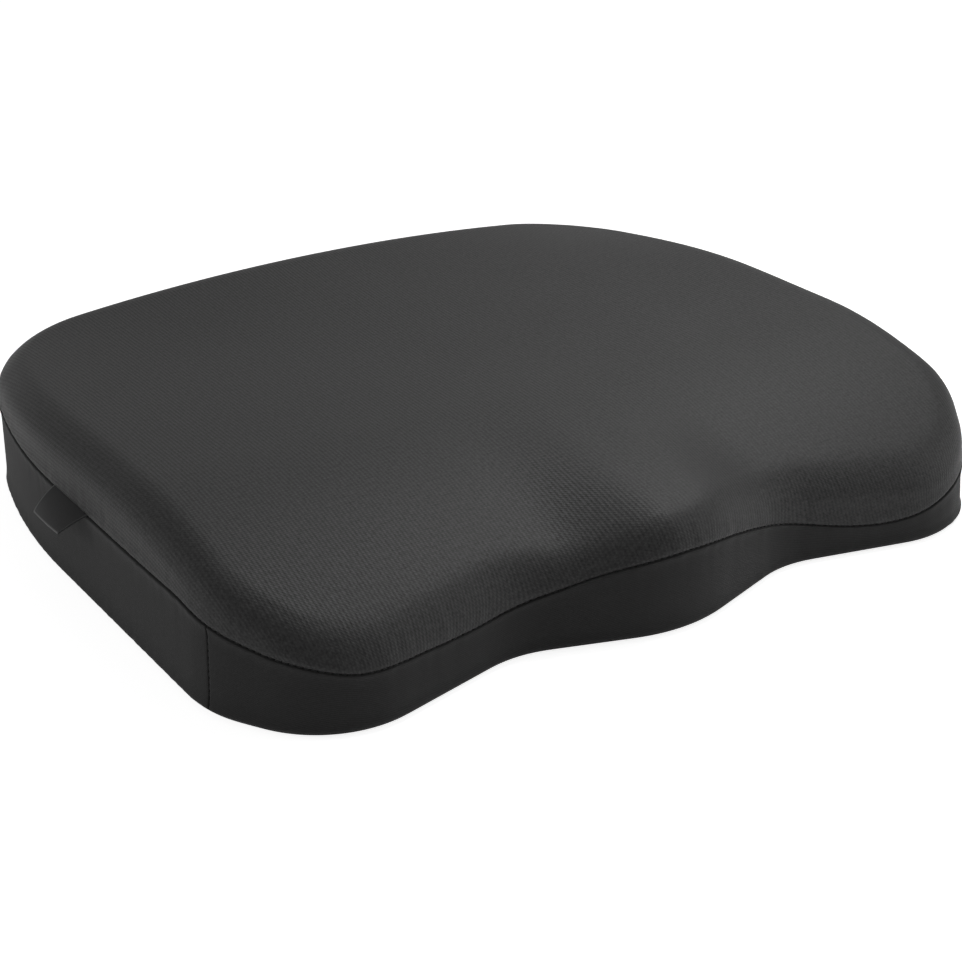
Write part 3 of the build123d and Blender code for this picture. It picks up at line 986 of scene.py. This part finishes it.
def make_care_label(name):
    """A satin label hanging inside the -X wall, with a slight curl."""
    low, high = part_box("care_label")
    around = np.linspace(place_y(high.y, -1), place_y(low.y, -1), 15)
    above = np.array([cover.level(around, z) for z in np.linspace(low.z, high.z, 13)])
    curl = 0.12 * MM * np.sin(np.linspace(0, 3 * pi, 15))
    verts = cover.point(around, above) - cover.normal(around, above) * (1.0 * MM + curl)[:, None]
    uv = np.stack([np.broadcast_to(around, above.shape), above], -1).reshape(-1, 2)
    return thicken(new_object(name, verts.reshape(-1, 3), strip_faces(13, 15), uv), 0.18 * MM)


def make_tape(name, node, side):
    """A woven zip tape of even thickness, waving faintly along its outer part away from the coil."""
    low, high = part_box(node)
    xs = np.linspace(low.x, high.x, 126)
    zs = np.linspace(0, high.z - low.z, 9)
    x, from_coil = np.meshgrid(xs, zs)
    z = low.z + from_coil if side > 0 else high.z - from_coil
    middle = (low.y + high.y) / 2
    bow = 0.08 * MM * np.sin(x / (9 * MM)) * ease((from_coil - 6 * MM) / (5 * MM))
    verts = np.stack([x, middle + bow, z], -1).reshape(-1, 3)
    uv = np.stack([x, from_coil], -1).reshape(-1, 2)
    faces = strip_faces(9, 126)
    return thicken(new_object(name, verts, faces if side < 0 else faces[:, ::-1], uv), 0.55 * MM)


COIL_PITCH = 1.6 * MM
COIL_WIRE = 0.3 * MM          # radius of the wire


def make_coil(name, node, side):
    """One half of the zip: a flattened coil of nylon wire sewn to its tape."""
    low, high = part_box(node)
    pitch, wire, steps, sides = COIL_PITCH, COIL_WIRE, 12, 6
    turns = int((high.x - low.x - 2 * wire) / pitch)
    count = turns * steps + 1
    angle = 2 * pi * np.arange(count) / steps
    half_y = (high.y - low.y) / 2 - wire
    half_z = (high.z - low.z) / 2 - wire
    shift = pitch / 2 if side > 0 else 0
    x = (low.x + high.x) / 2 + pitch * (np.arange(count) / steps - turns / 2) + shift - pitch / 4
    y = (low.y + high.y) / 2 + half_y * np.sin(angle)
    z = (low.z + high.z) / 2 + half_z * np.cos(angle)
    path = np.stack([x, y, z], 1)
    along = unit(np.gradient(path, axis=0))
    spoke = unit(np.stack([np.zeros(count), np.sin(angle) / half_y, np.cos(angle) / half_z], 1))
    spoke = unit(spoke - along * (spoke * along).sum(1)[:, None])
    across = np.cross(along, spoke)
    turn = 2 * pi * np.arange(sides) / sides
    ring = spoke[:, None] * np.cos(turn)[:, None] + across[:, None] * np.sin(turn)[:, None]
    verts = (path[:, None] + ring * wire).reshape(-1, 3)
    faces = strip_faces(count, sides, True).tolist()
    faces.append(np.arange(sides)[::-1].tolist())
    faces.append((np.arange(sides) + (count - 1) * sides).tolist())
    return new_object(name, verts, faces)


# ---- materials ------------------------------------------------------------------------
class Finish:
    """A material built from nodes round one principled shader."""

    def __init__(self, name, **sockets):
        self.material = bpy.data.materials.new(name)
        self.material.use_nodes = True
        self.tree = self.material.node_tree
        self.shader = self.tree.nodes["Principled BSDF"]
        for socket, value in sockets.items():
            self.shader.inputs[socket.replace("_", " ")].default_value = value

    def node(self, kind, inputs=(), **settings):
        """Adds a node; inputs are values or outputs, by place or by name."""
        node = self.tree.nodes.new(kind)
        for key, value in settings.items():
            setattr(node, key, value)
        pairs = inputs.items() if isinstance(inputs, dict) else enumerate(inputs)
        for key, value in pairs:
            if isinstance(value, bpy.types.NodeSocket):
                self.tree.links.new(value, node.inputs[key])
            elif value is not None:
                node.inputs[key].default_value = value
        return node

    def math(self, operation, *values):
        return self.node("ShaderNodeMath", values, operation=operation).outputs[0]

    def times(self, a, b):
        return self.math("MULTIPLY", a, b)

    def mul_add(self, a, b, c):
        """a times b, plus c."""
        return self.math("MULTIPLY_ADD", a, b, c)

    def wave(self, place, pitch):
        """A sine wave along a place in metres."""
        return self.math("SINE", self.times(place, 2 * pi / pitch))

    def noise(self, place, scale, detail=2.0, roughness=0.5):
        inputs = {"Vector": place, "Scale": scale, "Detail": detail, "Roughness": roughness}
        return self.node("ShaderNodeTexNoise", inputs).outputs[0]

    def object_place(self):
        return self.node("ShaderNodeTexCoord").outputs["Object"]

    def cloth_place(self):
        """Position on the flat cloth in metres: U, V and the pair."""
        place = self.node("ShaderNodeUVMap", uv_map="cloth").outputs[0]
        split = self.node("ShaderNodeSeparateXYZ", [place])
        return split.outputs[0], split.outputs[1], place

    def tint(self, amount, low, high):
        """Colour between two colours."""
        mix = self.node("ShaderNodeMix", data_type="RGBA")
        self.tree.links.new(amount, mix.inputs[0])
        mix.inputs[6].default_value = (*low, 1)
        mix.inputs[7].default_value = (*high, 1)
        return mix.outputs[2]

    def scale_range(self, value, low, high, to_low, to_high):
        inputs = [value, low, high, to_low, to_high]
        return self.node("ShaderNodeMapRange", inputs).outputs[0]

    def connect(self, colour=None, roughness=None, height=None, depth=0.0001, strength=1.0):
        if colour is not None:
            self.tree.links.new(colour, self.shader.inputs["Base Color"])
        if roughness is not None:
            self.tree.links.new(roughness, self.shader.inputs["Roughness"])
        if height is not None:
            inputs = {"Height": height, "Distance": depth, "Strength": strength}
            bump = self.node("ShaderNodeBump", inputs)
            self.tree.links.new(bump.outputs[0], self.shader.inputs["Normal"])
        return self.material


RIB_PITCH = 0.00198           # from cord to cord of the top cloth
SLANT_PITCH = 0.00165         # from stitch to stitch along a cord
TOP_DARK = (0.010, 0.0099, 0.0099)
TOP_LIGHT = (0.046, 0.0455, 0.0455)
BAND_DARK = (0.010, 0.0099, 0.0099)
BAND_LIGHT = (0.040, 0.0395, 0.0395)
WALE_PITCH = 0.0011           # columns and rows of loops of the knit
COURSE_PITCH = 0.0009


def top_twill():
    """Ribbed cloth: fine cords that run front to back, each with small slanted stitches."""
    finish = Finish("top_twill", Sheen_Weight=0.22, Sheen_Roughness=0.4, Specular_IOR_Level=0.5)
    u, v, place = finish.cloth_place()
    drift = finish.noise(place, 55.0, 1.0)
    u_soft = finish.mul_add(drift, 0.0009, u)
    cord = finish.wave(u_soft, RIB_PITCH)
    slant = finish.mul_add(u_soft, 0.9, v)
    stitch = finish.wave(slant, SLANT_PITCH)
    fibre = finish.noise(place, 2400.0, 3.0, 0.65)
    melange = finish.noise(place, 900.0, 2.0, 0.6)
    fleck = finish.noise(place, 420.0, 3.0, 0.75)
    wide = finish.noise(place, 12.0, 3.0, 0.5)
    relief = finish.mul_add(cord, 0.3, 0.5)
    relief = finish.mul_add(finish.times(stitch, relief), 0.3, relief)
    relief = finish.mul_add(fibre, 0.9, relief)
    shade = finish.scale_range(relief, 0.1, 1.9, 0.0, 0.62)
    shade = finish.mul_add(melange, 1.5, shade)
    shade = finish.mul_add(fleck, 1.9, shade)
    shade = finish.mul_add(wide, 0.3, finish.math("SUBTRACT", shade, 1.67))
    colour = finish.tint(shade, TOP_DARK, TOP_LIGHT)
    rough = finish.scale_range(relief, 0.0, 1.5, 0.72, 0.52)
    return finish.connect(colour, rough, relief, 0.00012, 0.7)


def band_knit(name, dark, light):
    """Plain fine knit of the sides and base."""
    finish = Finish(name, Sheen_Weight=0.18, Sheen_Roughness=0.4, Specular_IOR_Level=0.4)
    u, v, place = finish.cloth_place()
    drift = finish.noise(place, 70.0, 1.0)
    u_soft = finish.mul_add(drift, 0.0006, u)
    wale = finish.wave(u_soft, WALE_PITCH)
    fold = finish.math("ABSOLUTE", wale)
    loop = finish.mul_add(fold, 0.0003, v)
    course = finish.wave(loop, COURSE_PITCH)
    fibre = finish.noise(place, 3000.0, 3.0, 0.65)
    melange = finish.noise(place, 700.0, 2.0, 0.6)
    wide = finish.noise(place, 14.0, 3.0, 0.5)
    relief = finish.mul_add(finish.times(course, fold), 0.3, 0.5)
    relief = finish.mul_add(fibre, 0.4, relief)
    shade = finish.scale_range(relief, 0.3, 1.2, 0.0, 0.5)
    shade = finish.mul_add(melange, 0.4, shade)
    shade = finish.mul_add(wide, 0.2, finish.math("SUBTRACT", shade, 0.1))
    colour = finish.tint(shade, dark, light)
    rough = finish.scale_range(relief, 0.2, 1.2, 0.9, 0.72)
    return finish.connect(colour, rough, relief, 0.00009, 0.8)


def fine_weave(name, dark, light, pitch, gloss=0.7, sheen=0.05, depth=0.00008):
    """A small over-and-under weave for tapes, ribbons and the liner."""
    finish = Finish(name, Sheen_Weight=sheen, Specular_IOR_Level=0.4)
    place = finish.object_place()
    split = finish.node("ShaderNodeSeparateXYZ", [place])
    along = finish.math("ADD", split.outputs[0], split.outputs[1])
    up = finish.math("ADD", split.outputs[2], finish.times(split.outputs[1], 0.3))
    warp = finish.wave(along, pitch)
    weft = finish.wave(up, pitch)
    relief = finish.mul_add(finish.times(warp, weft), 0.5, 0.5)
    fibre = finish.noise(place, 2600.0, 2.0, 0.6)
    relief = finish.mul_add(fibre, 0.4, relief)
    shade = finish.mul_add(finish.noise(place, 60.0, 2.0), 0.3, finish.times(relief, 0.6))
    rough = finish.scale_range(relief, 0.0, 1.4, gloss + 0.12, gloss - 0.08)
    return finish.connect(finish.tint(shade, dark, light), rough, relief, depth, 0.9)


def foam():
    """Open-cell foam: fine pores and a mottled surface."""
    finish = Finish("foam", Specular_IOR_Level=0.2)
    place = finish.object_place()
    cells = finish.node("ShaderNodeTexVoronoi", {"Vector": place, "Scale": 900.0}).outputs[0]
    mottle = finish.noise(place, 40.0, 3.0)
    relief = finish.mul_add(finish.noise(place, 1500.0, 2.0), 0.5, cells)
    shade = finish.mul_add(mottle, 0.5, finish.times(cells, 0.5))
    rough = finish.scale_range(relief, 0.0, 1.2, 0.98, 0.86)
    colour = finish.tint(shade, (0.30, 0.29, 0.27), (0.55, 0.53, 0.48))
    return finish.connect(colour, rough, relief, 0.0002)


def thread():
    """Twisted sewing thread."""
    finish = Finish("thread", Sheen_Weight=0.2, Specular_IOR_Level=0.4)
    place = finish.object_place()
    split = finish.node("ShaderNodeSeparateXYZ", [place])
    slant = finish.math("ADD", finish.math("ADD", split.outputs[0], split.outputs[1]), split.outputs[2])
    ply = finish.wave(slant, 0.0005)
    relief = finish.mul_add(ply, 0.5, 0.5)
    shade = finish.mul_add(finish.noise(place, 200.0), 0.4, finish.times(relief, 0.5))
    rough = finish.scale_range(relief, 0.0, 1.0, 0.8, 0.55)
    colour = finish.tint(shade, (0.008, 0.008, 0.008), (0.026, 0.026, 0.027))
    return finish.connect(colour, rough, relief, 0.00006)


def grip_rubber():
    """Printed silicone dots, faintly scuffed."""
    finish = Finish("grip_rubber", Specular_IOR_Level=0.5)
    place = finish.object_place()
    scuff = finish.noise(place, 600.0, 4.0, 0.6)
    wide = finish.noise(place, 25.0, 2.0)
    shade = finish.mul_add(scuff, 0.5, finish.times(wide, 0.4))
    rough = finish.scale_range(scuff, 0.3, 0.7, 0.38, 0.6)
    colour = finish.tint(shade, (0.012, 0.012, 0.013), (0.035, 0.035, 0.037))
    return finish.connect(colour, rough, scuff, 0.00005)


def moulded(name, dark, light, gloss):
    """Nylon or enamel with slight flow marks and handling wear."""
    finish = Finish(name, Specular_IOR_Level=0.5)
    place = finish.object_place()
    grain = finish.noise(place, 1800.0, 3.0, 0.6)
    wear = finish.noise(place, 220.0, 4.0, 0.7)
    shade = finish.mul_add(wear, 0.7, finish.times(grain, 0.3))
    rough = finish.scale_range(wear, 0.3, 0.7, gloss, gloss + 0.2)
    return finish.connect(finish.tint(shade, dark, light), rough, grain, 0.00003, 0.6)


def zip_metal():
    """Black enamelled zinc, worn towards bare metal on its edges."""
    finish = Finish("zip_metal", Metallic=0.9, Coat_Weight=0.3, Coat_Roughness=0.25)
    place = finish.object_place()
    edge = finish.node("ShaderNodeNewGeometry").outputs["Pointiness"]
    edge = finish.scale_range(edge, 0.5, 0.62, 0.0, 1.0)
    scratch = finish.noise(place, 700.0, 4.0, 0.7)
    worn = finish.times(edge, finish.scale_range(scratch, 0.4, 0.65, 0.0, 1.0))
    rough = finish.scale_range(scratch, 0.3, 0.7, 0.28, 0.45)
    colour = finish.tint(worn, (0.02, 0.02, 0.022), (0.42, 0.41, 0.40))
    return finish.connect(colour, rough, scratch, 0.00002, 0.5)


def tag_ribbon():
    """Black satin ribbon with a paler bound edge."""
    finish = Finish("tag_ribbon", Specular_IOR_Level=0.5, Sheen_Weight=0.1)
    u, v, place = finish.cloth_place()
    weft = finish.wave(v, 0.0004)
    warp = finish.wave(u, 0.0006)
    relief = finish.mul_add(finish.times(weft, warp), 0.5, 0.5)
    from_end = finish.math("MINIMUM", u, finish.math("SUBTRACT", TAG_END - TAG_START, u))
    from_fold = finish.math("ABSOLUTE", finish.math("SUBTRACT", v, 0.0178))
    bound = finish.scale_range(finish.math("MINIMUM", from_end, from_fold), 0.0004, 0.0008, 1.0, 0.0)
    fibre = finish.noise(place, 2500.0, 2.0)
    shade = finish.mul_add(relief, 0.1, finish.times(fibre, 0.1))
    shade = finish.math("MAXIMUM", shade, bound)
    colour = finish.tint(shade, (0.011, 0.011, 0.0115), (0.11, 0.11, 0.11))
    rough = finish.scale_range(relief, 0.0, 1.0, 0.62, 0.45)
    return finish.connect(colour, rough, relief, 0.00005, 0.7)


def give_material(mesh, material):
    """Makes a material the only one of a mesh."""
    mesh.materials.clear()
    mesh.materials.append(material)


def finish_pieces():
    """Material, body and CAD node for every piece; the table also names a slot for each, which is not
    used.
    """
    sewn = {
        "top_panel": (top_panel, "top_twill", top_twill()),
        "bottom_panel": (base_panel, "base_cloth",
                         band_knit("base_cloth", (0.012, 0.012, 0.012), (0.05, 0.05, 0.05))),
        "foam_core": (inner_form("foam_block", 3.0 * MM, ZIP_BACK - 1.2 * MM), "foam", foam()),
        "inner_liner": (inner_form("liner_bag", 1.8 * MM, ZIP_BACK), "liner_knit",
                        fine_weave("liner_knit", (0.02, 0.02, 0.02), (0.07, 0.07, 0.07), 0.0009)),
        "grip_dots": (make_dots("grip_dot_domes"), "grip_rubber", grip_rubber()),
        "zip_tape_upper": (make_tape("zip_tape_upper_weave", "zip_tape_upper", 1), "zip_tape",
                           fine_weave("zip_tape", (0.01, 0.01, 0.01), (0.04, 0.04, 0.04), 0.0007)),
        "zip_coil_upper": (make_coil("zip_coil_upper_wire", "zip_coil_upper", 1), "zip_coil",
                           moulded("zip_coil", (0.01, 0.01, 0.01), (0.035, 0.035, 0.035), 0.3)),
        "side_tag": (make_tag("side_tag_ribbon"), "tag_ribbon", tag_ribbon()),
        "care_label": (make_care_label("care_label_satin"), "label_satin",
                       fine_weave("label_satin", (0.5, 0.5, 0.49), (0.72, 0.72, 0.7), 0.0004, 0.4)),
    }
    knit = band_knit("band_knit", BAND_DARK, BAND_LIGHT)
    for node, piece in bands.items():
        sewn[node] = (piece, "band_knit", knit)
    yarn = thread()
    joins = (right_join, left_join, rear_right_join, rear_left_join)
    threads = {
        "top_seam_thread": seam_stitches("top_seam_stitches", top_line, 0.9 * MM),
        "bottom_seam_thread": seam_stitches("base_seam_stitches", base_line, 0.6 * MM),
        "band_join_threads": join_stitches("band_join_stitches", joins, 0.6 * MM),
        "zip_seam_threads": zip_stitches("zip_topstitches"),
    }
    for node, piece in threads.items():
        sewn[node] = (piece, "thread", yarn)
    sewn["zip_tape_lower"] = (
        make_tape("zip_tape_lower_weave", "zip_tape_lower", -1), "zip_tape", sewn["zip_tape_upper"][2])
    sewn["zip_coil_lower"] = (
        make_coil("zip_coil_lower_wire", "zip_coil_lower", -1), "zip_coil", sewn["zip_coil_upper"][2])
    for node, (piece, slot, material) in sewn.items():
        give_material(piece.data, material)
        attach(piece, "cushion")
        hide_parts(node)
    metal = zip_metal()
    for node in ("zip_slider", "zip_pull", "zip_top_stops", "zip_bottom_stop"):
        give_material(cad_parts[node].data, metal)


finish_pieces()


# ---- floor, light and camera ----------------------------------------------------------
FLOOR_GLOW = 0.2              # light the sweep throws up on the cushion
FLOOR_SEEN = 0.85             # and how bright it is seen
FLOOR_HALF = 4.0
WORLD_SEEN = 1.05             # how bright the surroundings are seen


def make_floor():
    """A plain white sweep under and behind the cushion, clear when seen from beneath."""
    half = FLOOR_HALF
    floor = new_object(
        "studio_floor",
        [(-half, -half, 0), (half, -half, 0), (half, half, 0), (-half, half, 0)],
        [(0, 1, 2, 3)],
    )
    finish = Finish("studio_floor", Roughness=0.9)
    finish.shader.inputs["Base Color"].default_value = (0.85, 0.85, 0.85, 1)
    finish.shader.inputs["Emission Color"].default_value = (1, 1, 1, 1)
    rays = finish.node("ShaderNodeLightPath").outputs["Is Camera Ray"]
    glow = finish.scale_range(rays, 0.0, 1.0, FLOOR_GLOW, FLOOR_SEEN)
    finish.tree.links.new(glow, finish.shader.inputs["Emission Strength"])
    beneath = finish.node("ShaderNodeNewGeometry").outputs["Backfacing"]
    clear = finish.node("ShaderNodeBsdfTransparent").outputs[0]
    shown = finish.node("ShaderNodeMixShader", [beneath, finish.shader.outputs[0], clear])
    finish.tree.links.new(shown.outputs[0], finish.tree.nodes["Material Output"].inputs[0])
    floor.data.materials.append(finish.material)


def add_light(name, azimuth, elevation, distance, width, height, power):
    """A soft panel light aimed at the middle of the cushion; azimuth 0 is over the
    front edge and 90 over the +X side."""
    light = bpy.data.lights.new(name, "AREA")
    light.shape = "RECTANGLE"
    light.size = width
    light.size_y = height
    light.energy = power
    lamp = link_object(name, light)
    a, e = radians(azimuth), radians(elevation)
    lamp.location = Vector((sin(a) * cos(e), -cos(a) * cos(e), sin(e))) * distance
    lamp.rotation_euler = lamp.location.to_track_quat("Z", "Y").to_euler()


def set_world(strength):
    """Even white surroundings."""
    world = bpy.data.worlds.new("studio")
    world.use_nodes = True
    background = world.node_tree.nodes["Background"]
    background.inputs[0].default_value = (1, 1, 1, 1)
    rays = world.node_tree.nodes.new("ShaderNodeLightPath")
    mix = world.node_tree.nodes.new("ShaderNodeMix")
    mix.inputs[2].default_value = strength
    mix.inputs[3].default_value = WORLD_SEEN
    world.node_tree.links.new(rays.outputs["Is Camera Ray"], mix.inputs[0])
    world.node_tree.links.new(mix.outputs[0], background.inputs[1])
    bpy.context.scene.world = world


# azimuth, elevation and roll of the camera, in degrees, and what it looks at
CAMERA_TURN = (-33.15, 25.43, -0.20)
CAMERA_TARGET = (-30.55, -58.74, 35.0)
CAMERA_DISTANCE = 0.99356
CAMERA_LENS = 76.27


def add_camera():
    """Camera over the front left corner."""
    a, e, roll = (radians(angle) for angle in CAMERA_TURN)
    target = Vector(CAMERA_TARGET) * MM
    back = Vector((sin(a) * cos(e), -cos(a) * cos(e), sin(e)))
    right = Vector((cos(a), sin(a), 0))
    up = back.cross(right)
    data = bpy.data.cameras.new("camera")
    data.sensor_width = 36
    data.lens = CAMERA_LENS
    camera = link_object("camera", data)
    turned_right = right * cos(roll) + up * sin(roll)
    turned_up = up * cos(roll) - right * sin(roll)
    turn = Matrix((turned_right, turned_up, back)).transposed().to_4x4()
    camera.matrix_world = Matrix.Translation(target + back * CAMERA_DISTANCE) @ turn
    bpy.context.scene.camera = camera


make_floor()
set_world(0.16)
add_light("top_light", 80, 66, 0.62, 0.3, 0.3, 1.45)
add_light("rear_light", 135, 50, 2.4, 1.0, 1.0, 3)
add_light("right_light", 60, 20, 2.4, 1.2, 1.0, 8)
add_light("left_light", -105, 22, 2.4, 1.2, 1.0, 8)
add_camera()
bpy.context.scene.view_settings.view_transform = "Standard"
